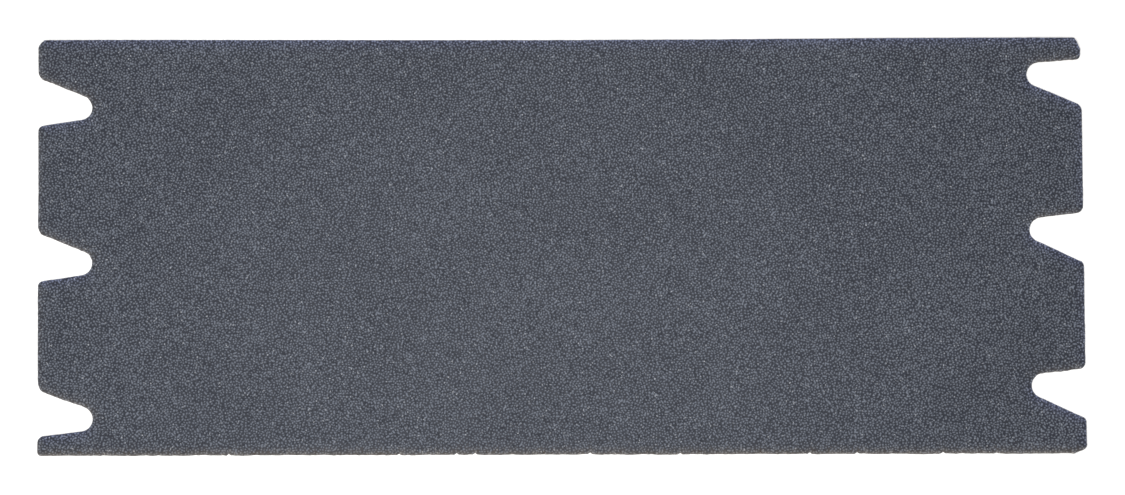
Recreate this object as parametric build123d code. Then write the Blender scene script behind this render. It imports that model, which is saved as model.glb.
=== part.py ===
from build123d import *
import math
import os

# A die-cut abrasive sheet for a drum-type floor sander: a laminate of four
# layers that share one outline. Each end has a row of tapered notches, and the
# notch rows swap places when the sheet is turned half a turn about Z.
# Millimetres, +X along the sheet, +Y across it, +Z up. The origin is the middle
# of the plain back face, and the abrasive faces +Z.

# Overall sizes
sheet_length = 511.2
sheet_width = 203.2

# Layers, from the back face upwards
backing_thickness = 0.45
make_coat_thickness = 0.10
grain_thickness = 0.40
size_coat_thickness = 0.05

# Notch rows
notch_count = 3
near_margin = 17.8  # axis of the notch beside the thin tab, to the long edge there
far_margin = 33.0  # axis of the row's other outer notch, to the other long edge
notch_depth = 26.4
notch_end_radius = 6.0
steep_flank_angle = 23.0  # degrees off X, the flank away from the thin tab
shallow_flank_angle = 7.0  # degrees off X, the flank on the thin tab's side
steep_mouth_radius = 4.5  # rounding where the steep flank meets the end edge
shallow_mouth_radius = 3.3  # rounding where the shallow flank does

# Trimmed corners of the sheet, each as its reach along X and along Y
front_left_trim = (1.2, 1.2)
front_right_trim = (6.4, 3.0)
rear_right_trim = (2.8, 5.6)
rear_left_trim = (2.2, 3.0)
trim_radius = 3.0  # rounding of both ends of each trim

ROUNDING_SHARE = 0.45  # a rounding takes at most this share of an edge beside it


def notch_row_centres():
    """Y of each notch axis at the -X end, evenly spaced from the highest down."""
    first = sheet_width / 2 - far_margin
    last = -sheet_width / 2 + near_margin
    notch_pitch = (first - last) / (notch_count - 1)
    return [first - step * notch_pitch for step in range(notch_count)]


def flank_reach(angle):
    """How far from the notch axis a flank crosses the end edge of the sheet."""
    slope = math.radians(angle)
    outward = notch_depth - notch_end_radius
    return notch_end_radius / math.cos(slope) + outward * math.tan(slope)


def flank_crossing(centre_y):
    """Where both flanks would meet if the notch had no round end."""
    steep = math.radians(steep_flank_angle)
    shallow = math.radians(shallow_flank_angle)
    centre = Vector(-sheet_length / 2 + notch_depth - notch_end_radius, centre_y)
    steep_normal = Vector(math.sin(steep), math.cos(steep))
    shallow_normal = Vector(math.sin(shallow), -math.cos(shallow))
    reach = notch_end_radius / (1 + steep_normal.dot(shallow_normal))
    return centre + (steep_normal + shallow_normal) * reach


def notch_corners(centre_y):
    """The corners of one notch at the -X end with their radii, going towards -Y."""
    edge_x = -sheet_length / 2
    steep_mouth = Vector(edge_x, centre_y + flank_reach(steep_flank_angle))
    shallow_mouth = Vector(edge_x, centre_y - flank_reach(shallow_flank_angle))
    return [
        (steep_mouth, steep_mouth_radius),
        (flank_crossing(centre_y), notch_end_radius),
        (shallow_mouth, shallow_mouth_radius),
    ]


def end_corners():
    """Every notch corner of the -X end, going towards -Y."""
    return [corner for centre in notch_row_centres() for corner in notch_corners(centre)]


def half_turn(corners):
    """The same corners at the +X end, going towards +Y."""
    return [(Vector(-point.X, -point.Y), radius) for point, radius in corners]


def trim_corners(side_x, side_y, trim):
    """Both ends of a corner trim: the one on the end edge, then the one on the long edge."""
    along_x, along_y = trim
    corner_x = side_x * sheet_length / 2
    corner_y = side_y * sheet_width / 2
    on_end = (Vector(corner_x, corner_y - side_y * along_y), trim_radius)
    on_long = (Vector(corner_x - side_x * along_x, corner_y), trim_radius)
    return [on_end, on_long]


def outline_corners():
    """Every corner of the outline with its radius, anticlockwise seen from +Z."""
    front_left = trim_corners(-1, -1, front_left_trim)
    front_right = reversed(trim_corners(1, -1, front_right_trim))
    rear_right = trim_corners(1, 1, rear_right_trim)
    rear_left = reversed(trim_corners(-1, 1, rear_left_trim))
    return [
        *front_left,
        *front_right,
        *half_turn(end_corners()),
        *rear_right,
        *rear_left,
        *end_corners(),
    ]


def fitting_radius(before, corner, after, radius):
    """The radius asked for, or less where an edge beside the corner is too short for it."""
    back = before - corner
    ahead = after - corner
    half_bend = math.radians(180 - back.get_angle(ahead)) / 2
    room = ROUNDING_SHARE * min(back.length, ahead.length)
    return min(radius, room / math.tan(half_bend))


def sheet_outline():
    """The flat outline that every layer is cut to."""
    corners = outline_corners()
    points = [point for point, radius in corners]
    radii = []
    for index, (point, radius) in enumerate(corners):
        before = points[index - 1]
        after = points[(index + 1) % len(points)]
        is_notch_end = abs(point.X) < sheet_length / 2 - notch_depth
        fitted = radius if is_notch_end else fitting_radius(before, point, after, radius)
        radii.append(fitted)
    return make_face(FilletPolyline(*points, radius=radii, close=True).edges())


def layer(outline, bottom, thickness):
    """One layer of the laminate, a slab of the shared outline."""
    return extrude(Pos(0, 0, bottom) * outline, amount=thickness, dir=(0, 0, 1)).solid()


def backing_paper(outline):
    """Heavy paper that carries the coats and rests on the drum."""
    return layer(outline, 0, backing_thickness)


def make_coat(outline):
    """First resin coat, which the grain stands in."""
    return layer(outline, backing_thickness, make_coat_thickness)


def abrasive_grain(outline):
    """The bed of abrasive grain, as one slab of the bed's height."""
    return layer(outline, backing_thickness + make_coat_thickness, grain_thickness)


def size_coat(outline):
    """Second resin coat, which locks the grain from above."""
    bottom = backing_thickness + make_coat_thickness + grain_thickness
    return layer(outline, bottom, size_coat_thickness)


def main():
    os.makedirs("parts", exist_ok=True)
    outline = sheet_outline()
    layers = {
        "backing_paper": backing_paper(outline),
        "make_coat": make_coat(outline),
        "abrasive_grain": abrasive_grain(outline),
        "size_coat": size_coat(outline),
    }
    for name, solid in layers.items():
        solid.label = name
        export_step(solid, f"parts/{name}.step")


main()
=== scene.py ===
import math

import bpy
import numpy as np
from mathutils import Matrix, Vector
from mathutils.geometry import delaunay_2d_cdt
from mathutils.kdtree import KDTree


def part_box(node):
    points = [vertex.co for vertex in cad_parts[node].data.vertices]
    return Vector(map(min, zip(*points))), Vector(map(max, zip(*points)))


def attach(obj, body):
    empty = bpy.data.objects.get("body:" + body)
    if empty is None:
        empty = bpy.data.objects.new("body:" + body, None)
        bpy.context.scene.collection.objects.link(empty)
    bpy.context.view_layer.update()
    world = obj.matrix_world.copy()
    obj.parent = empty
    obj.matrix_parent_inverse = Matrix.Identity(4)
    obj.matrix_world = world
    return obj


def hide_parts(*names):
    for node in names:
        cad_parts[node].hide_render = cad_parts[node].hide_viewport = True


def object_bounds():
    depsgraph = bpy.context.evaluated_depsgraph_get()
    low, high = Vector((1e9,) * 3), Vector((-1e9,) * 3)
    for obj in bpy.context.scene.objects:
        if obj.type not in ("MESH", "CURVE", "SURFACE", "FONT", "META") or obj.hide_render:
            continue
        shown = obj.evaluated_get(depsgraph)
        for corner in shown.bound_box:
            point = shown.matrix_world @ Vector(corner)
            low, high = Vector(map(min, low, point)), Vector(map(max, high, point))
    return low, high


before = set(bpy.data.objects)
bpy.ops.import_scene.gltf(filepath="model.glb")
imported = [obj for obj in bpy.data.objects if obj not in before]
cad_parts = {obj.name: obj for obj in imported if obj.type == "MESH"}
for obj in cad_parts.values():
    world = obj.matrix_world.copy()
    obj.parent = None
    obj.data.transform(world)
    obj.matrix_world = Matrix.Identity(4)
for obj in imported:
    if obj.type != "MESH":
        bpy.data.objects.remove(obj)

# A notched abrasive sheet for a drum floor sander, lying grit side up. The packed
# layers give the outline and the levels, and each is rebuilt here in detail:
# fibrous paper, the resin that holds the grain, the grain itself, and the second
# resin between the grains. Metres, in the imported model's frame.

cad_low, cad_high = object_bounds()

MM = 0.001
SEED = 20

# The laminate's extent and levels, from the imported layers
HALF_LENGTH = (cad_high.x - cad_low.x) / 2
HALF_WIDTH = (cad_high.y - cad_low.y) / 2
PAPER_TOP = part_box("backing_paper")[1].z
MAKE_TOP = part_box("make_coat")[1].z

# Mesh points: their spacing, and how filling points keep clear of the cut line
EDGE_STEP = 0.5 * MM
FILM_STEP = 1.5 * MM
PLAIN_STEP = 2.2 * MM
CLEARANCE_SHARE = 0.6
MOST_CLEARANCE = 1 * MM
GRAIN_CLEARANCE = 0.30 * MM
NO_POINTS = np.zeros((0, 2))

# Grains: a random tip each, a little further apart along the sheet, with low points in the
# gaps. Heights are shares of the rise from the gap level to the tip level. Tones go from 0,
# the dark grit with painted shade in the gaps, to 1, the pale one. Levels are above the first
# resin coat.
GRAIN_SPACING = 1.06 * MM
GAP_SPACING = 0.53 * MM
STRETCH = 1.08
GAP_LEVEL = 0.02 * MM
TIP_LEVEL = 0.52 * MM
TIP_HEIGHTS = (0.65, 1.0)
GAP_HEIGHTS = (0, 0.15)
EDGE_HEIGHTS = (0.1, 0.7)
TIP_TONES = (0.94, 1.04)
GAP_TONES = (0.0, 0.24)
EDGE_TONE = 0.35
EDGE_TONE_RISE = 0.6
DEEP_GAP_SHARE = 0.3
TALL_GRAIN_SHARE = 0.04
TALL_GRAIN_RISE = 0.14 * MM

# The other layers' surfaces
BACK_ROUGHNESS = 0.03 * MM
LOWER_CUT_SHARE = 0.6
MAKE_SINK = 0.05 * MM
FILM_BOTTOM = 0.01 * MM
FILM_LEVEL = 0.06 * MM
FILM_ROUGHNESS = 0.05 * MM

# How far each coat is drawn back from the cut line: everywhere, and further on the worn side
MAKE_INSET = (0.01 * MM, 0.03 * MM)
GRAIN_INSET = (0.02 * MM, 0.10 * MM)
FILM_INSET = (0.08 * MM, 0.10 * MM)

# The share of its height that a coat has at the cut line, and the reach of its full recovery
GRAIN_AT_CUT = 0.5
GRAIN_RECOVERY = 0.8 * MM
FILM_AT_CUT = 0.35
FILM_RECOVERY = 1.2 * MM

# The cut edge: its raggedness, with knots this many outline points apart, and its nicks
FRAY = 0.13 * MM
FRAY_KNOTS = (3, 14)
FRAY_EVERYWHERE = 0.45
FRAY_AT_FRONT = 0.75
NICK_DEPTH = 0.9 * MM
NICK_HALF_WIDTH = 0.9 * MM
NICK_DEPTHS = (0.6, 1.1)
NICKS = (-0.162, -0.079, -0.051, -0.042, 0.014, 0.058, 0.121, 0.144, 0.186, 0.212)

# The notches as the die has them
NOTCH_COUNT = 3
NEAR_MARGIN = 17.8 * MM
NOTCH_PITCH = 76.2 * MM
NOTCH_DEPTH = 26.4 * MM
NOTCH_WINDOW = 26.0 * MM
FLANK_LENGTH = 20.6 * MM

# How this sheet departs from its die: its ends are a little out of square, every mouth sits a
# little to the front, the notches beside the thin tabs are tighter and deeper and the other two
# at the +X end looser, the rear edge is slightly hollow, the thin tab at the rear is short, and
# the +X corners are fuller
OUT_OF_SQUARE = math.radians(0.2)
MOUTH_LEAN = 0.5 * MM
MOUTH_TIGHTER = 0.5 * MM
MOUTH_LOOSER = 0.5 * MM
EXTRA_DEPTH = 0.5 * MM
REAR_HOLLOW = 0.3 * MM
HOLLOW_LEVEL = 0.4
HOLLOW_WAVES = 1.15
SHORT_TAB = 0.5 * MM
CORNER_GROWTH = 0.35 * MM

# How far from the sheet's edges those departures reach
EDGE_ZONE = 2 * MM
RIGHT_ZONE = 8 * MM
TAB_ZONE = 14 * MM
CORNER_ZONE = 7 * MM
FACES_REAR = 0.9  # least Y of the normal on an edge that counts as facing the rear

# The lying sheet's rise off the floor: a lip at the rear right edge, raised corners, a long wave
LIP_RISE = 0.7 * MM
LIP_REACH = 5.0 * MM
LIP_START = 0.38
LIP_RAMP = 0.25
CORNER_RISE = 0.6 * MM
CORNER_POWERS = (6, 3)  # how steeply the corners rise along the sheet and across it
WAVE_RISE = 0.25 * MM
WAVE_ALONG = 3.1
WAVE_SHIFT = 0.6
WAVE_ACROSS = 1.7

# Wear of the grain, with painted light that makes it lighter, at edges that face the worn and lit
# side, and a painted bluish light at the others
WORN_AND_LIT_SIDE = (-0.40, -0.92)
WEAR_AND_LIGHT_REACH = 1.5 * MM
WEAR_AND_LIGHT_RAGGEDNESS = (0.4, 1.6)
WEAR_AND_LIGHT_EVERYWHERE = 0.05
WEAR_AND_LIGHT_BY_FACING = 0.85
WEAR_AND_LIGHT_OFF_FRONT = 0.6
FRONT_ZONE = 4 * MM
PAINTED_COOL_REACH = 4.0 * MM

# The camera: a long lens almost straight above, leaning a little to the front edge
CAMERA_DISTANCE = 1.607
CAMERA_ELEVATION = math.radians(86.7)
CAMERA_ROLL = math.radians(-0.14)
CAMERA_LENS = 105.18
CAMERA_AIM = Vector((0.8 * MM, -0.5 * MM, 0.5 * MM))
SENSOR_WIDTH = 36.0
NEAREST_SEEN = 0.01
FURTHEST_SEEN = 50

# The studio
SKY_STRENGTH = 1.12
FLOOR_HALF_SIZE = 12.0
FLOOR_DROP = 0.02 * MM


# ---------------------------------------------------------------- outline


def cad_outline(node):
    """The loop that a packed layer's walls make at its underside, as points in order."""
    same_place_digits = 7
    tolerance = 1e-6
    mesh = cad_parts[node].data
    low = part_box(node)[0].z
    places = [tuple(round(value, same_place_digits) for value in v.co) for v in mesh.vertices]
    ahead = {}
    for polygon in mesh.polygons:
        corners = [places[index] for index in polygon.vertices]
        at_low = [abs(corner[2] - low) < tolerance for corner in corners]
        if sum(at_low) != 2:
            continue
        for index, corner in enumerate(corners):
            after = (index + 1) % len(corners)
            if at_low[index] and at_low[after]:
                ahead[corner[:2]] = corners[after][:2]
    start = next(iter(ahead))
    loop = [start]
    while ahead[loop[-1]] != start:
        loop.append(ahead[loop[-1]])
    return np.array(loop)


def signed_area(loop):
    after = np.roll(loop, -1, axis=0)
    return float((loop[:, 0] * after[:, 1] - after[:, 0] * loop[:, 1]).sum() / 2)


def resampled(loop, step):
    """The loop with evenly spaced points."""
    closed = np.vstack([loop, loop[:1]])
    runs = np.linalg.norm(np.diff(closed, axis=0), axis=1)
    along = np.concatenate([[0], np.cumsum(runs)])
    count = int(along[-1] / step)
    places = np.linspace(0, along[-1], count, endpoint=False)
    return np.column_stack([np.interp(places, along, closed[:, axis]) for axis in (0, 1)])


def outward_normals(loop):
    """Unit normals that point out of an anticlockwise loop."""
    tangent = np.roll(loop, -1, axis=0) - np.roll(loop, 1, axis=0)
    tangent /= np.linalg.norm(tangent, axis=1)[:, None]
    return np.column_stack([tangent[:, 1], -tangent[:, 0]])


def inset(loop, everywhere, worn_side):
    """The loop drawn in by one distance, and by a further one where it faces the worn side."""
    normals = outward_normals(loop)
    facing = np.clip(normals @ np.array(WORN_AND_LIT_SIDE), 0, 1)
    return loop - normals * (everywhere + worn_side * facing)[:, None]


def smooth_noise(count, wavelength, draw):
    """Periodic noise of about unit size along a loop of count points."""
    knots = max(4, int(count / wavelength))
    values = draw.normal(0, 1, knots)
    places = np.arange(count) * knots / count
    low = places.astype(int) % knots
    share = places - places.astype(int)
    share = share * share * (3 - 2 * share)
    return values[low] * (1 - share) + values[(low + 1) % knots] * share


def notch_axes(end):
    """Y of each notch axis at one end of the sheet, the one beside the thin tab first."""
    return [end * (HALF_WIDTH - NEAR_MARGIN - step * NOTCH_PITCH) for step in range(NOTCH_COUNT)]


def mouth_growth(x, y, up, end, axis, squeeze):
    """How far a notch's flanks grow into it, from nothing at the round end to all at the mouth."""
    inward = HALF_LENGTH - end * x
    on_rear = y > axis
    faces_axis = np.where(on_rear, -up, up) > 0
    on_flank = (np.abs(y - axis) < NOTCH_WINDOW) & (inward < NOTCH_DEPTH) & faces_axis
    to_mouth = np.clip(1 - inward / FLANK_LENGTH, 0, 1)
    off_the_end = np.clip(inward / EDGE_ZONE, 0, 1)
    lean = np.where(on_rear, MOUTH_LEAN, -MOUTH_LEAN)
    return on_flank * to_mouth * off_the_end * np.abs(up) * (lean + squeeze)


def end_growth(x, y, across, end, axis):
    """How far the round end of one notch grows into it: less than nothing, as it is deeper."""
    inward = HALF_LENGTH - end * x
    to_round = np.clip(2 * inward / NOTCH_DEPTH - 1, 0, 1)
    in_notch = (np.abs(y - axis) < NOTCH_WINDOW) & (inward < NOTCH_DEPTH + EDGE_ZONE)
    return -EXTRA_DEPTH * in_notch * to_round * np.clip(end * across, 0, 1)


def notch_growth(x, y, across, up):
    """How far the edge of every notch grows into it."""
    growth = np.zeros(len(x))
    for end, others in ((-1, 0), (1, -MOUTH_LOOSER)):
        for step, axis in enumerate(notch_axes(end)):
            squeeze = others if step else MOUTH_TIGHTER
            growth += mouth_growth(x, y, up, end, axis, squeeze)
        growth += end_growth(x, y, across, end, notch_axes(end)[0])
    return growth


def as_cut(loop):
    """The mean outline with this sheet's own departures from it."""
    normals = outward_normals(loop)
    x, y = loop.T
    across, up = normals.T
    growth = notch_growth(x, y, across, up)
    on_rear_edge = (up > FACES_REAR) & (y > HALF_WIDTH - EDGE_ZONE)
    hollow = HOLLOW_LEVEL - np.cos(HOLLOW_WAVES * math.pi * x / HALF_LENGTH)
    growth += REAR_HOLLOW * hollow * on_rear_edge
    at_right = x > HALF_LENGTH - RIGHT_ZONE
    growth -= SHORT_TAB * np.clip(across, 0, 1) * at_right * (y > HALF_WIDTH - TAB_ZONE)
    at_corner = at_right * (np.abs(y) > HALF_WIDTH - CORNER_ZONE)
    growth += CORNER_GROWTH * at_corner * 2 * np.abs(across * up)
    leaning = np.column_stack([x - math.tan(OUT_OF_SQUARE) * y, y])
    return leaning + normals * growth[:, None]


def frayed(loop, draw):
    """The cut line as the die left it: slightly ragged, with small nicks along the front edge."""
    normals = outward_normals(loop)
    fine, long = [smooth_noise(len(loop), knots, draw) for knots in FRAY_KNOTS]
    front = np.clip(-normals[:, 1], 0, 1)
    depth = FRAY * (fine * 0.5 + long * 0.5) * (FRAY_EVERYWHERE + FRAY_AT_FRONT * front)
    for place in NICKS:
        near = (np.abs(loop[:, 0] - place) < NICK_HALF_WIDTH) & (loop[:, 1] < -HALF_WIDTH + MM)
        shape = 1 - ((loop[near, 0] - place) / NICK_HALF_WIDTH) ** 2
        depth[near] -= NICK_DEPTH * shape * draw.uniform(*NICK_DEPTHS)
    return loop + normals * depth[:, None]


def lift(x, y):
    """How far the lying sheet rises off the floor at a place: it is not perfectly flat."""
    to_rear = HALF_WIDTH - y
    along = x / HALF_LENGTH
    lip_window = np.clip((along - LIP_START) / LIP_RAMP, 0, 1)
    lip = LIP_RISE * lip_window * np.exp(-((to_rear / LIP_REACH) ** 2))
    out = np.clip(np.abs(y) / HALF_WIDTH, 0, 1)
    corner = CORNER_RISE * np.abs(along) ** CORNER_POWERS[0] * out ** CORNER_POWERS[1]
    wave = WAVE_RISE * (1 + np.sin(WAVE_ALONG * along + WAVE_SHIFT))
    towards_rear = 0.5 + 0.5 * np.sin(y / HALF_WIDTH * WAVE_ACROSS)
    return lip + corner + wave * towards_rear


# ---------------------------------------------------------------- scattered points

# A point can clash with points up to two cells away, so grids have a border of two empty cells.
# A cell without a point holds a place far outside the sheet.
DART_ROUNDS = 8
BORDER = 2
NOWHERE = 10.0
OFFSETS = range(-BORDER, BORDER + 1)
NEAR_CELLS = [(rows, columns) for rows in OFFSETS for columns in OFFSETS if rows or columns]


def clashes(x, y, other_x, other_y, spacing):
    return ((x - other_x) / STRETCH) ** 2 + (y - other_y) ** 2 < spacing * spacing


def neighbours(*grids):
    """The grids as each cell's neighbour has them, for every neighbour near enough to clash."""
    for cell in NEAR_CELLS:
        yield [np.roll(grid, cell, (0, 1)) for grid in grids]


def scattered(spacing, taken, draw):
    """Random points over the sheet's box, no two nearer than the spacing, nor to those taken.

    The spacing is wider along X. Darts are thrown into a grid whose cells hold one point each,
    all cells at once, a few times over.
    """
    high = spacing / math.sqrt(2)
    wide = high * STRETCH
    columns = int(2 * HALF_LENGTH / wide) + 1 + 2 * BORDER
    rows = int(2 * HALF_WIDTH / high) + 1 + 2 * BORDER
    shape = (rows, columns)
    x = np.full(shape, NOWHERE, np.float32)
    y = np.full(shape, NOWHERE, np.float32)
    column = ((taken[:, 0] + HALF_LENGTH) / wide).astype(int) + BORDER
    row = ((taken[:, 1] + HALF_WIDTH) / high).astype(int) + BORDER
    x[row, column] = taken[:, 0]
    y[row, column] = taken[:, 1]
    given = x < NOWHERE
    left = -HALF_LENGTH + wide * (np.arange(columns) - BORDER)
    low = -HALF_WIDTH + high * (np.arange(rows) - BORDER)
    inner = np.zeros(shape, bool)
    inner[BORDER:-BORDER, BORDER:-BORDER] = True
    for _ in range(DART_ROUNDS):
        dart_x = (left[None, :] + draw.uniform(0, wide, shape)).astype(np.float32)
        dart_y = (low[:, None] + draw.uniform(0, high, shape)).astype(np.float32)
        rank = draw.random(shape, np.float32)
        good = inner & (x == NOWHERE)
        for near_x, near_y in neighbours(x, y):
            good &= ~clashes(dart_x, dart_y, near_x, near_y, spacing)
        dart_x[~good] = -NOWHERE
        for near_x, near_y, near_rank in neighbours(dart_x, dart_y, rank):
            beaten = clashes(dart_x, dart_y, near_x, near_y, spacing) & (near_rank > rank)
            good &= ~beaten
        x[good] = dart_x[good]
        y[good] = dart_y[good]
    new = (x < NOWHERE) & ~given
    return np.column_stack([x[new], y[new]]).astype(float)


def edge_distance(points, loop):
    """Each point's distance to the loop, and the index of the loop point nearest to it."""
    tree = KDTree(len(loop))
    for index, (x, y) in enumerate(loop):
        tree.insert((x, y, 0), index)
    tree.balance()
    found = [tree.find((x, y, 0)) for x, y in points]
    return np.array([hit[2] for hit in found]), np.array([hit[1] for hit in found])


def clear_inside(points, loop, clearance):
    """Which points lie inside the loop and further from it than the clearance."""
    away, nearest = edge_distance(points, loop)
    outward = outward_normals(loop)[nearest]
    inner = ((points - loop[nearest]) * outward).sum(axis=1) < 0
    return inner & (away > clearance)


def filling(loop, spacing, draw):
    """Random points that fill the loop at about that spacing."""
    points = scattered(spacing, NO_POINTS, draw)
    clearance = min(CLEARANCE_SHARE * spacing, MOST_CLEARANCE)
    return points[clear_inside(points, loop, clearance)]


# ---------------------------------------------------------------- mesh building

# Bake coordinates, as shares of the square: the side that is seen takes most of it, the other
# side a thin strip above that, and the walls another
UV_MARGIN = 0.005
UV_WIDTH = 0.99
SEEN_HEIGHT = 0.88
UNSEEN_START = 0.90
UNSEEN_HEIGHT = 0.04
WALL_START = 0.96
WALL_HEIGHT = 0.03


def triangulated(loop, fill):
    """Points (the loop first, then the filling) and the triangles between them."""
    inside_only = 1
    merge_distance = 1e-9
    points = np.vstack([loop, fill])
    ring = list(range(len(loop)))
    edges = [(index, (index + 1) % len(ring)) for index in ring]
    corners = [Vector(point) for point in points]
    made = delaunay_2d_cdt(corners, edges, [], inside_only, merge_distance)
    places, triangles, sources = made[0], made[2], made[3]
    if len(places) != len(points):
        raise RuntimeError("the triangulation merged or added points")
    origin = np.array([source[0] for source in sources])
    return points, origin[np.array(triangles)]


def wall_triangles(count, shift):
    """Two triangles under each edge of a ring of points, down to a ring that is shift points on."""
    ring = np.arange(count)
    after = (ring + 1) % count
    left = np.column_stack([ring, ring + shift, after + shift])
    right = np.column_stack([ring, after + shift, after])
    return np.vstack([left, right])


def add_piece(name, places, faces):
    """A new object in the scene, made of triangles."""
    mesh = bpy.data.meshes.new(name)
    mesh.vertices.add(len(places))
    mesh.vertices.foreach_set("co", places.astype(np.float32).ravel())
    mesh.loops.add(faces.size)
    mesh.loops.foreach_set("vertex_index", faces.astype(np.int32).ravel())
    mesh.polygons.add(len(faces))
    mesh.polygons.foreach_set("loop_start", np.arange(0, faces.size, 3, dtype=np.int32))
    mesh.update(calc_edges=True)
    mesh.validate()
    piece = bpy.data.objects.new(name, mesh)
    bpy.context.scene.collection.objects.link(piece)
    return piece


def closed_layer(name, loop, top_fill, bottom_fill, top_height, bottom_height):
    """A closed mesh between two height functions over the loop, with the top's points first."""
    top, top_faces = triangulated(loop, top_fill)
    bottom, bottom_faces = triangulated(loop, bottom_fill)
    upper = np.column_stack([top, top_height(top)])
    lower = np.column_stack([bottom, bottom_height(bottom)])
    walls = wall_triangles(len(loop), len(top))
    faces = np.vstack([top_faces, bottom_faces[:, ::-1] + len(top), walls])
    parts = {
        "top_points": len(top),
        "top_faces": len(top_faces),
        "bottom_faces": len(bottom_faces),
        "faces": faces,
        "ring": len(loop),
    }
    return add_piece(name, np.vstack([upper, lower]), faces), parts


def wall_uv(walls, parts):
    """Bake coordinates of the walls, unrolled into a strip."""
    ring = parts["ring"]
    is_bottom = walls >= parts["top_points"]
    step = walls - is_bottom * parts["top_points"]
    wraps = (step == 0) & (step.max(axis=1, keepdims=True) == ring - 1)
    along = (step + wraps * ring) / ring
    return np.stack([UV_MARGIN + UV_WIDTH * along, WALL_START + WALL_HEIGHT * is_bottom], axis=2)


def lay_out_uv(piece, parts, seen_side):
    """Bake coordinates of a piece whose top or bottom is the side that is seen."""
    mesh = piece.data
    co = np.zeros(len(mesh.vertices) * 3, np.float32)
    mesh.vertices.foreach_get("co", co)
    co = co.reshape(-1, 3)
    flat_u = (co[:, 0] + HALF_LENGTH) / (2 * HALF_LENGTH)
    flat_v = (co[:, 1] + HALF_WIDTH) / (2 * HALF_WIDTH)
    seen_v = UV_MARGIN + SEEN_HEIGHT * flat_v
    unseen_v = UNSEEN_START + UNSEEN_HEIGHT * flat_v
    top_v, bottom_v = (seen_v, unseen_v) if seen_side == "top" else (unseen_v, seen_v)
    faces = parts["faces"]
    top = slice(0, parts["top_faces"])
    bottom = slice(top.stop, top.stop + parts["bottom_faces"])
    uv = np.zeros((len(faces), 3, 2), np.float32)
    uv[:, :, 0] = (UV_MARGIN + UV_WIDTH * flat_u)[faces]
    uv[top, :, 1] = top_v[faces[top]]
    uv[bottom, :, 1] = bottom_v[faces[bottom]]
    uv[bottom.stop:] = wall_uv(faces[bottom.stop:], parts)
    layer = mesh.uv_layers.new(name="OFBake")
    layer.data.foreach_set("uv", uv.ravel())


def set_attribute(piece, name, values):
    attribute = piece.data.attributes.new(name, "FLOAT", "POINT")
    attribute.data.foreach_set("value", np.asarray(values, np.float32))


# ---------------------------------------------------------------- materials

# Colours
# The dark end of the grit's tone: dark grit and resin, with painted shade in the gaps
GRIT_DARK_AND_SHADED = (0.017, 0.019, 0.026, 1)
GRIT_PALE = (0.117, 0.130, 0.158, 1)
# A painted glint: a bright colour on rare facets
PAINTED_GLINT = (0.30, 0.31, 0.33, 1)
# Rims that face the lit side: wear, with painted light that makes them lighter and warmer. Rims
# that face away: a painted bluish light
WORN_AND_LIT_GRIT = (0.145, 0.134, 0.118, 1)
PAINTED_COOL_TINT = (1.12, 1.15, 1.55, 1)
WARM_WEAR_AND_LIGHT_TINT = (1.75, 1.35, 0.95, 1)
RESIN_DARK = (0.008, 0.010, 0.016, 1)
RESIN_PALE = (0.018, 0.021, 0.032, 1)
# The film's rims that face the lit side: wear, with painted light that makes them lighter
WORN_AND_LIT_RESIN = (0.075, 0.060, 0.045, 1)
AMBER_DARK = (0.030, 0.021, 0.014, 1)
AMBER_PALE = (0.065, 0.045, 0.028, 1)
PAPER_DARK = (0.140, 0.085, 0.045, 1)
PAPER_PALE = (0.250, 0.165, 0.095, 1)
PAPER_CLOUD = (0.155, 0.095, 0.052, 1)
PAPER_FLECK = (0.075, 0.045, 0.026, 1)
PAPER_CUT = (0.075, 0.064, 0.052, 1)
FLOOR_DARK = (0.83, 0.83, 0.83, 1)
FLOOR_PALE = (0.85, 0.85, 0.85, 1)

# Texture features per metre
FACETS = 1900.0
PITS = 2300.0
FINE_GRIT = 2600.0
BROAD_GRIT = 16.0
MENISCI = 900.0
AMBER_GRAIN = 1400.0
PAPER_CLOUDS = 90.0
PAPER_FLECKS = 700.0
FIBRES_ALONG = (350.0, 2200.0, 900.0)
FIBRES_ACROSS = (1700.0, 420.0, 900.0)
FLOOR_CLOUDS = 3.0

# The span that noise mostly keeps to, or nearer its middle for a stronger contrast
NOISE_SPAN = (0.3, 0.7)
STRONG_SPAN = (0.35, 0.65)

# Grit: the swing each texture gives its tone, the tones that go from dark (with painted shade in
# the gaps) to pale, and its painted glints
FACET_SWING = (-0.16, 0.16)
FINE_SWING = (-0.10, 0.10)
BROAD_SWING = (-0.04, 0.04)
TONE_SPAN = (0.10, 0.95)
GLINT_SPAN = (0.985, 1.0)
GLINT_STRENGTH = 0.8

# Stains on the paper: the noise span that makes flecks, and how strongly each kind shows
FLECK_SPAN = (0.70, 0.78)
FLECK_STRENGTH = 0.5
CLOUD_STRENGTH = 0.35
CUT_STRENGTH = 0.9

# Roughness of each surface, from its smoothest to its roughest spots
GRIT_ROUGHNESS = (0.36, 0.72)
RESIN_ROUGHNESS = (0.30, 0.5)
AMBER_ROUGHNESS = (0.35, 0.6)
PAPER_ROUGHNESS = (0.78, 0.95)
FLOOR_ROUGHNESS = 0.9

# Bump of each surface: its depth and strength
GRIT_BUMP = (0.10 * MM, 0.6)
RESIN_BUMP = (0.12 * MM, 0.5)
AMBER_BUMP = (0.05 * MM, 0.6)
PAPER_BUMP = (0.12 * MM, 0.7)

# Specular level of each surface
GRIT_SPECULAR = 0.12
RESIN_SPECULAR = 0.15
AMBER_SPECULAR = 0.5
PAPER_SPECULAR = 0.25
FLOOR_SPECULAR = 0.2


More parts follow.
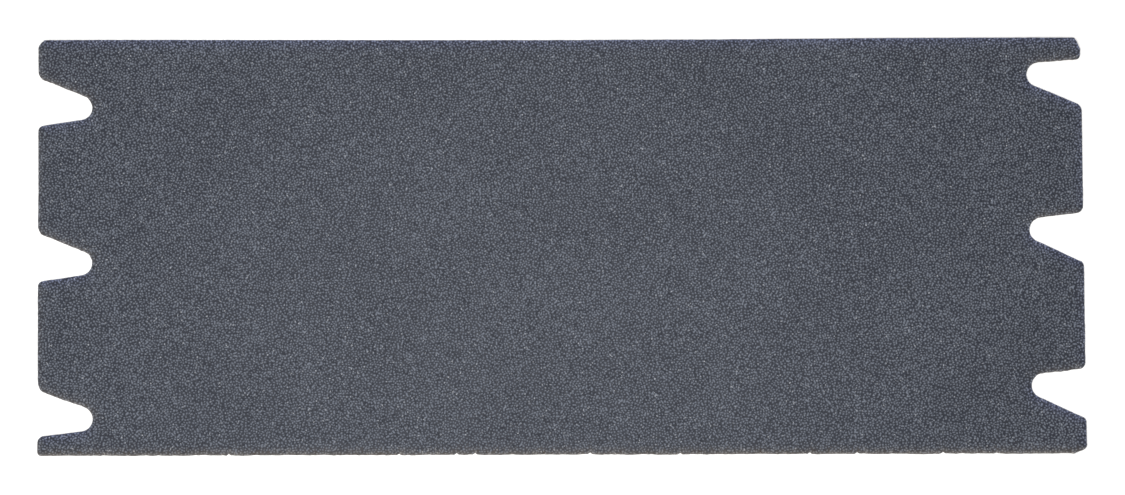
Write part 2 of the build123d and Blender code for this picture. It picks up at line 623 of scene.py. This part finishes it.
class Nodes:
    """A short way to write a node tree."""

    def __init__(self, name):
        self.material = bpy.data.materials.new(name)
        self.material.use_nodes = True
        self.tree = self.material.node_tree
        self.shader = self.tree.nodes["Principled BSDF"]
        self.place = self.add("ShaderNodeTexCoord").outputs["Object"]

    def add(self, kind, **values):
        node = self.tree.nodes.new(kind)
        for key, value in values.items():
            setattr(node, key, value)
        return node

    def link(self, source, target):
        self.tree.links.new(source, target)

    def feed(self, socket, value):
        if isinstance(value, bpy.types.NodeSocket):
            self.link(value, socket)
        else:
            socket.default_value = value

    def noise(self, scale, detail=2.0, rough=0.5, place=None):
        node = self.add("ShaderNodeTexNoise")
        self.feed(node.inputs["Vector"], place or self.place)
        node.inputs["Scale"].default_value = scale
        node.inputs["Detail"].default_value = detail
        node.inputs["Roughness"].default_value = rough
        return node.outputs["Fac"]

    def cells(self, scale, output):
        node = self.add("ShaderNodeTexVoronoi")
        self.feed(node.inputs["Vector"], self.place)
        node.inputs["Scale"].default_value = scale
        return node.outputs[output]

    def stretched(self, scales):
        node = self.add("ShaderNodeMapping")
        self.feed(node.inputs["Vector"], self.place)
        node.inputs["Scale"].default_value = scales
        return node.outputs["Vector"]

    def math(self, operation, a, b):
        node = self.add("ShaderNodeMath", operation=operation)
        self.feed(node.inputs[0], a)
        self.feed(node.inputs[1], b)
        return node.outputs[0]

    def range(self, value, span, to=(0.0, 1.0)):
        """The value with its span stretched to another one, and cut off beyond it."""
        node = self.add("ShaderNodeMapRange")
        self.feed(node.inputs["Value"], value)
        node.inputs["From Min"].default_value = span[0]
        node.inputs["From Max"].default_value = span[1]
        node.inputs["To Min"].default_value = to[0]
        node.inputs["To Max"].default_value = to[1]
        return node.outputs["Result"]

    def mix(self, share, a, b, blend="MIX"):
        node = self.add("ShaderNodeMix", data_type="RGBA", blend_type=blend)
        self.feed(node.inputs["Factor"], share)
        self.feed(node.inputs[6], a)
        self.feed(node.inputs[7], b)
        return node.outputs[2]

    def tinted(self, colour, tint):
        return self.mix(1.0, colour, tint, "MULTIPLY")

    def attribute(self, name):
        return self.add("ShaderNodeAttribute", attribute_name=name).outputs["Fac"]

    def bump(self, height, depth, strength):
        node = self.add("ShaderNodeBump")
        self.feed(node.inputs["Height"], height)
        node.inputs["Distance"].default_value = depth
        node.inputs["Strength"].default_value = strength
        return node.outputs["Normal"]

    def finish(self, colour, roughness, specular, normal=None):
        self.feed(self.shader.inputs["Base Color"], colour)
        self.feed(self.shader.inputs["Roughness"], roughness)
        self.shader.inputs["Specular IOR Level"].default_value = specular
        if normal is not None:
            self.link(normal, self.shader.inputs["Normal"])
        return self.material


def grit_material():
    """Blue-grey silicon carbide: dark in the gaps, partly from painted shade, paler on the tips,
    with rare painted glints.
    """
    n = Nodes("silicon_carbide_grit")
    tip = n.attribute("tip")
    facet = n.add("ShaderNodeSeparateColor")
    n.link(n.cells(FACETS, "Color"), facet.inputs["Color"])
    fine = n.noise(FINE_GRIT, rough=0.6)
    broad = n.noise(BROAD_GRIT)
    tone = n.math("ADD", tip, n.range(facet.outputs["Red"], (0.0, 1.0), FACET_SWING))
    tone = n.math("ADD", tone, n.range(fine, NOISE_SPAN, FINE_SWING))
    tone = n.math("ADD", tone, n.range(broad, NOISE_SPAN, BROAD_SWING))
    # Dark where the tone is low: dark grit and resin, with painted shade in the gaps
    colour = n.mix(n.range(tone, TONE_SPAN), GRIT_DARK_AND_SHADED, GRIT_PALE)
    # Painted glints: rare facets given a bright colour
    painted_glint = n.range(facet.outputs["Green"], GLINT_SPAN, (0.0, GLINT_STRENGTH))
    colour = n.mix(painted_glint, colour, PAINTED_GLINT)
    # Painted bluish light on the rims that face away from the lit side
    colour = n.mix(n.attribute("cool"), colour, n.tinted(colour, PAINTED_COOL_TINT))
    # Wear with painted light on the rims that face the lit side: lighter and warmer
    browned_and_lit = n.mix(0.5, n.tinted(colour, WARM_WEAR_AND_LIGHT_TINT), WORN_AND_LIT_GRIT)
    colour = n.mix(n.attribute("wear"), colour, browned_and_lit)
    roughness = n.range(facet.outputs["Blue"], (0.0, 1.0), GRIT_ROUGHNESS)
    normal = n.bump(n.math("ADD", n.cells(PITS, "Distance"), fine), *GRIT_BUMP)
    return n.finish(colour, roughness, GRIT_SPECULAR, normal)


def film_material():
    """Second resin coat, seen as dark, slightly glossy menisci between the grains."""
    n = Nodes("size_coat_resin")
    broad = n.noise(MENISCI, detail=3.0, rough=0.6)
    colour = n.mix(n.range(broad, NOISE_SPAN), RESIN_DARK, RESIN_PALE)
    # Wear with painted light on the rims that face the lit side
    colour = n.mix(n.attribute("wear"), colour, WORN_AND_LIT_RESIN)
    roughness = n.range(broad, NOISE_SPAN, RESIN_ROUGHNESS)
    return n.finish(colour, roughness, RESIN_SPECULAR, n.bump(broad, *RESIN_BUMP))


def make_material():
    """First resin coat: dark amber, seen only as a thin line in the cut edge."""
    n = Nodes("make_coat_resin")
    grain = n.noise(AMBER_GRAIN, detail=3.0, rough=0.6)
    colour = n.mix(n.range(grain, NOISE_SPAN), AMBER_DARK, AMBER_PALE)
    roughness = n.range(grain, NOISE_SPAN, AMBER_ROUGHNESS)
    return n.finish(colour, roughness, AMBER_SPECULAR, n.bump(grain, *AMBER_BUMP))


def paper_material():
    """Heavy brown paper: matted fibres, a faint machine direction, flecks, a soiled cut edge."""
    n = Nodes("kraft_backing_paper")
    edge = n.attribute("edge")
    cloudy = n.noise(PAPER_CLOUDS, detail=4.0, rough=0.6)
    fibres = n.noise(1.0, detail=4.0, rough=0.65, place=n.stretched(FIBRES_ALONG))
    across = n.noise(1.0, detail=4.0, rough=0.65, place=n.stretched(FIBRES_ACROSS))
    fleck = n.range(n.noise(PAPER_FLECKS, detail=1.0), FLECK_SPAN, (0.0, FLECK_STRENGTH))
    matted = n.math("MULTIPLY", n.math("ADD", fibres, across), 0.5)
    colour = n.mix(n.range(matted, STRONG_SPAN), PAPER_DARK, PAPER_PALE)
    colour = n.mix(n.range(cloudy, STRONG_SPAN, (0.0, CLOUD_STRENGTH)), colour, PAPER_CLOUD)
    colour = n.mix(fleck, colour, PAPER_FLECK)
    colour = n.mix(n.math("MULTIPLY", edge, CUT_STRENGTH), colour, PAPER_CUT)
    roughness = n.range(matted, NOISE_SPAN, PAPER_ROUGHNESS)
    return n.finish(colour, roughness, PAPER_SPECULAR, n.bump(matted, *PAPER_BUMP))


def floor_material():
    n = Nodes("pale_floor")
    colour = n.mix(n.noise(FLOOR_CLOUDS), FLOOR_DARK, FLOOR_PALE)
    return n.finish(colour, FLOOR_ROUGHNESS, FLOOR_SPECULAR)


# ---------------------------------------------------------------- pieces


def stand_for(piece, material, node):
    piece.data.materials.append(material)
    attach(piece, "root")
    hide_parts(node)
    return piece


def constant(level):
    """The height function of a surface at one level over the lying sheet's underside."""
    return lambda points: level + lift(points[:, 0], points[:, 1])


def paper_layer(loop, draw):
    """The backing, fibrous at its cut edge, with a fine unevenness on its back."""
    fill = filling(loop, FILM_STEP, draw)
    sparse = filling(loop, PLAIN_STEP, draw)

    def back(points):
        rough = draw.uniform(0, BACK_ROUGHNESS, len(points))
        rough[: len(loop)] = 0
        return lift(points[:, 0], points[:, 1]) + rough

    top = constant(PAPER_TOP)
    piece, parts = closed_layer("backing_paper_sheet", loop, sparse, fill, top, back)
    lay_out_uv(piece, parts, "bottom")
    below = parts["top_points"]
    edge = np.zeros(len(piece.data.vertices))
    edge[: len(loop)] = 1
    edge[below:below + len(loop)] = LOWER_CUT_SHARE
    set_attribute(piece, "edge", edge)
    return stand_for(piece, paper_material(), "backing_paper")


def make_layer(loop, draw):
    """The first resin coat, drawn back a little from the cut line."""
    drawn_in = inset(loop, *MAKE_INSET)
    sparse = filling(drawn_in, PLAIN_STEP, draw)

    def top(places):
        sink = np.full(len(places), MAKE_SINK)
        sink[: len(loop)] = 0
        return MAKE_TOP - sink + lift(places[:, 0], places[:, 1])

    bottom = constant(PAPER_TOP)
    piece, parts = closed_layer("make_coat_film", drawn_in, sparse, sparse, top, bottom)
    lay_out_uv(piece, parts, "top")
    return stand_for(piece, make_material(), "make_coat")


def rim_effects(points, loop, draw):
    """Distance to the cut line, wear with painted light on the worn and lit side, and a painted
    bluish light on the other side.
    """
    away, nearest = edge_distance(points, loop)
    facing = outward_normals(loop)[nearest] @ np.array(WORN_AND_LIT_SIDE)
    ragged = draw.uniform(*WEAR_AND_LIGHT_RAGGEDNESS, len(points))
    on_front_edge = points[:, 1] < -HALF_WIDTH + FRONT_ZONE
    by_facing = WEAR_AND_LIGHT_EVERYWHERE + WEAR_AND_LIGHT_BY_FACING * np.clip(facing, 0, 1)
    strength = np.where(on_front_edge, 1.0, WEAR_AND_LIGHT_OFF_FRONT) * by_facing
    wear = strength * np.exp(-away / (WEAR_AND_LIGHT_REACH * ragged))
    # The painted bluish light: near the cut line, on edges that face away from the lit side
    spread = 0.5 * np.exp(-((away / PAINTED_COOL_REACH) ** 2)) + 0.5 * np.exp(-away / MM)
    cool = spread * np.clip(-facing, 0, 1)
    return away, wear, cool


def set_seen(piece, **values):
    """Attributes of a piece's first points, with 0 at the others, on its hidden underside."""
    for name, seen in values.items():
        hidden = np.zeros(len(piece.data.vertices) - len(seen))
        set_attribute(piece, name, np.concatenate([seen, hidden]))


def recovered(away, at_cut, reach):
    """The share of its height that a coat has at a distance from the cut line."""
    return np.clip(at_cut + away / reach, 0, 1)


def grain_points(drawn_in, draw):
    """The points inside the cut line that make the grains, and the height and tone of all; low
    tones carry painted shade in the gaps.
    """
    tips = scattered(GRAIN_SPACING, NO_POINTS, draw)
    gaps = scattered(GAP_SPACING, tips, draw)
    tip_height = draw.uniform(*TIP_HEIGHTS, len(tips))
    tall = draw.random(len(tips)) < TALL_GRAIN_SHARE
    tip_height[tall] += TALL_GRAIN_RISE / (TIP_LEVEL - GAP_LEVEL)
    tip_tone = draw.uniform(*TIP_TONES, len(tips))
    gap_height = draw.uniform(*GAP_HEIGHTS, len(gaps))
    # Low gap tones stand for darker resin and for painted shade in the gaps
    gap_tone = draw.uniform(*GAP_TONES, len(gaps))
    gap_tone[draw.random(len(gaps)) < DEEP_GAP_SHARE] = 0
    fill = np.vstack([tips, gaps])
    kept = clear_inside(fill, drawn_in, GRAIN_CLEARANCE)
    edge_height = draw.uniform(*EDGE_HEIGHTS, len(drawn_in))
    # Edge points are paler the higher they stand: painted shade on the low ones
    edge_tone = EDGE_TONE + EDGE_TONE_RISE * edge_height
    height = np.concatenate([edge_height, np.concatenate([tip_height, gap_height])[kept]])
    tone = np.concatenate([edge_tone, np.concatenate([tip_tone, gap_tone])[kept]])
    return fill[kept], height, tone


def grain_layer(loop, draw):
    """The grain bed: crushed grains standing close together, with low gaps between them."""
    drawn_in = inset(loop, *GRAIN_INSET)
    fill, height, tone = grain_points(drawn_in, draw)
    away, wear, cool = rim_effects(np.vstack([drawn_in, fill]), loop, draw)
    level = GAP_LEVEL + (TIP_LEVEL - GAP_LEVEL) * height
    level *= recovered(away, GRAIN_AT_CUT, GRAIN_RECOVERY)

    def top(places):
        return MAKE_TOP + level + lift(places[:, 0], places[:, 1])

    sparse = filling(drawn_in, PLAIN_STEP, draw)
    bottom = constant(MAKE_TOP)
    piece, parts = closed_layer("silicon_carbide_grains", drawn_in, fill, sparse, top, bottom)
    lay_out_uv(piece, parts, "top")
    set_seen(piece, tip=tone, wear=wear, cool=cool)
    return stand_for(piece, grit_material(), "abrasive_grain")


def film_layer(loop, draw):
    """The second resin coat: a thin skin in the gaps, with the grains standing through it."""
    drawn_in = inset(loop, *FILM_INSET)
    fill = filling(drawn_in, FILM_STEP, draw)
    sparse = filling(drawn_in, PLAIN_STEP, draw)
    points = np.vstack([drawn_in, fill])
    rise = draw.uniform(-FILM_ROUGHNESS, FILM_ROUGHNESS, len(points))
    away, wear, _ = rim_effects(points, loop, draw)
    fade = recovered(away, FILM_AT_CUT, FILM_RECOVERY)

    def top(places):
        return MAKE_TOP + (FILM_LEVEL + rise) * fade + lift(places[:, 0], places[:, 1])

    bottom = constant(MAKE_TOP + FILM_BOTTOM)
    piece, parts = closed_layer("size_coat_film", drawn_in, fill, sparse, top, bottom)
    lay_out_uv(piece, parts, "top")
    set_seen(piece, wear=wear)
    piece.data.shade_smooth()
    return stand_for(piece, film_material(), "size_coat")


# ---------------------------------------------------------------- studio


def add_camera():
    camera = bpy.data.objects.new("camera", bpy.data.cameras.new("camera"))
    bpy.context.scene.collection.objects.link(camera)
    camera.data.lens = CAMERA_LENS
    camera.data.sensor_width = SENSOR_WIDTH
    camera.data.clip_start = NEAREST_SEEN
    camera.data.clip_end = FURTHEST_SEEN
    back = Vector((0, -math.cos(CAMERA_ELEVATION), math.sin(CAMERA_ELEVATION)))
    place = Matrix.Translation(CAMERA_AIM + back * CAMERA_DISTANCE)
    level = (-back).to_track_quat("-Z", "Y").to_matrix().to_4x4()
    camera.matrix_world = place @ level @ Matrix.Rotation(CAMERA_ROLL, 4, "Z")
    bpy.context.scene.camera = camera


def add_floor():
    half = FLOOR_HALF_SIZE
    corners = [(-half, -half, 0), (half, -half, 0), (half, half, 0), (-half, half, 0)]
    mesh = bpy.data.meshes.new("floor")
    mesh.from_pydata(corners, [], [(0, 1, 2, 3)])
    floor = bpy.data.objects.new("floor", mesh)
    bpy.context.scene.collection.objects.link(floor)
    floor.data.materials.append(floor_material())
    floor.location.z = -FLOOR_DROP


def add_light(name, place, aim, size, power, colour):
    light = bpy.data.lights.new(name, "AREA")
    light.shape = "SQUARE"
    light.size = size
    light.energy = power
    light.color = colour
    lamp = bpy.data.objects.new(name, light)
    bpy.context.scene.collection.objects.link(lamp)
    lamp.location = place
    lamp.rotation_euler = (Vector(aim) - Vector(place)).to_track_quat("-Z", "Y").to_euler()
    lamp.visible_camera = False


def add_sky():
    world = bpy.data.worlds.new("studio")
    bpy.context.scene.world = world
    world.use_nodes = True
    background = world.node_tree.nodes["Background"]
    background.inputs["Color"].default_value = (1, 1, 1, 1)
    background.inputs["Strength"].default_value = SKY_STRENGTH


def add_studio():
    add_floor()
    add_sky()
    add_light(
        "soft_overhead",
        place=(-0.05, -0.06, 0.66),
        aim=(-0.02, -0.02, 0),
        size=0.40,
        power=2.9,
        colour=(1.0, 1.0, 1.0),
    )
    add_light(
        "low_front_left",
        place=(-0.75, -0.85, 0.55),
        aim=(0, 0, 0),
        size=0.5,
        power=4.0,
        colour=(1.0, 0.99, 0.97),
    )
    bpy.context.scene.view_settings.view_transform = "Standard"


def main():
    draw = np.random.default_rng(SEED)
    loop = cad_outline("backing_paper")
    if signed_area(loop) < 0:
        loop = loop[::-1]
    loop = frayed(as_cut(resampled(loop, EDGE_STEP)), draw)
    paper = paper_layer(loop, draw)
    make = make_layer(loop, draw)
    grains = grain_layer(loop, draw)
    film = film_layer(loop, draw)
    add_camera()
    add_studio()


main()
